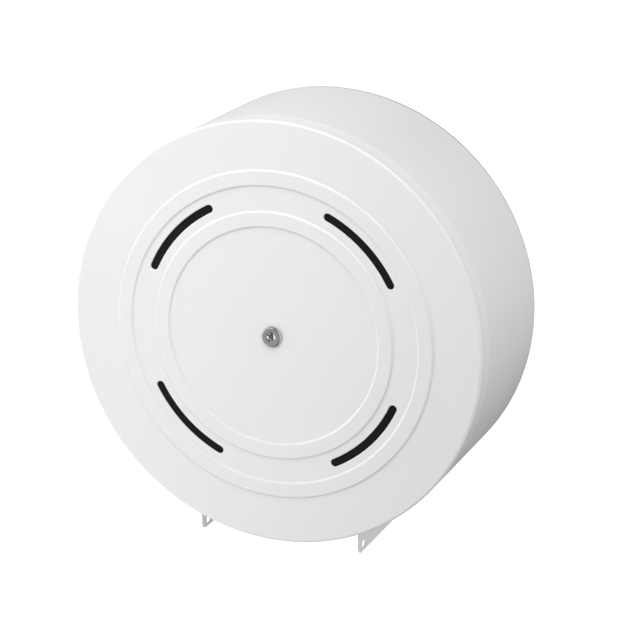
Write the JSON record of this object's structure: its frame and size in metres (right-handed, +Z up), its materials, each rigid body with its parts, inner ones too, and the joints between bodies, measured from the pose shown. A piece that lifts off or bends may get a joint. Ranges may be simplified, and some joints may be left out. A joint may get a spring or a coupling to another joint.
{
  "type": "jumbo toilet roll dispenser",
  "caption": "Wall-mounted round steel drum that holds toilet rolls on a turning carrier, with a lock-on front cover and a paper outlet below.",
  "frame": {"origin": "on the wall plane, at the drum's axis, in the middle of the four wall holes", "axes": "+X to the viewer's right, +Y into the wall, +Z up; the cover faces -Y"},
  "size_m": [0.32, 0.1272, 0.326],
  "materials": {
    "white_enamel": "white powder coat, semi-gloss",
    "zinc_steel": "zinc plated steel, satin",
    "lock_metal": "die-cast zinc, matt nickel",
    "white_plastic": "moulded, smooth",
    "nylon": "natural nylon",
    "smoked_window": "dark smoked acrylic"
  },
  "bodies": {
    "root": {"back_plate": "zinc_steel", "drum_wall": "white_enamel", "front_rim": "white_enamel", "axle_flange": "zinc_steel", "axle_tube": "zinc_steel", "flange_rivets": "zinc_steel", "rear_washer": "nylon", "front_washer": "nylon", "retaining_ring": "zinc_steel", "lock_catch": "zinc_steel"},
    "carousel": {"carrier_plate": "white_enamel", "hub_tube": "white_enamel", "rear_bush": "nylon", "front_bush": "nylon", "spindle_right": "white_plastic", "spindle_top": "white_plastic", "spindle_left": "white_plastic", "spindle_bottom": "white_plastic", "cap_right": "white_plastic", "cap_top": "white_plastic", "cap_left": "white_plastic", "cap_bottom": "white_plastic", "spindle_screws": "zinc_steel"},
    "cover": {"front_cover": "white_enamel", "sight_window": "smoked_window", "window_clips": "zinc_steel", "lock_housing": "lock_metal", "lock_washer": "zinc_steel", "lock_nut": "zinc_steel"},
    "lock": {"lock_plug": "lock_metal", "lock_cam": "zinc_steel", "cam_screw": "zinc_steel"}
  },
  "joints": [
    {"name": "carousel_turn", "type": "hinge", "parent": "root", "child": "carousel", "pos_m": [0, 0, 0], "axis": [0, 1, 0], "continuous": true},
    {"name": "cover_pull", "type": "slide", "parent": "root", "child": "cover", "axis": [0, -1, 0], "range_m": [0, 0.2]},
    {"name": "lock_turn", "type": "hinge", "parent": "cover", "child": "lock", "pos_m": [0, -0.12, 0], "axis": [0, 1, 0], "range_deg": [0, 90]}
  ]
}
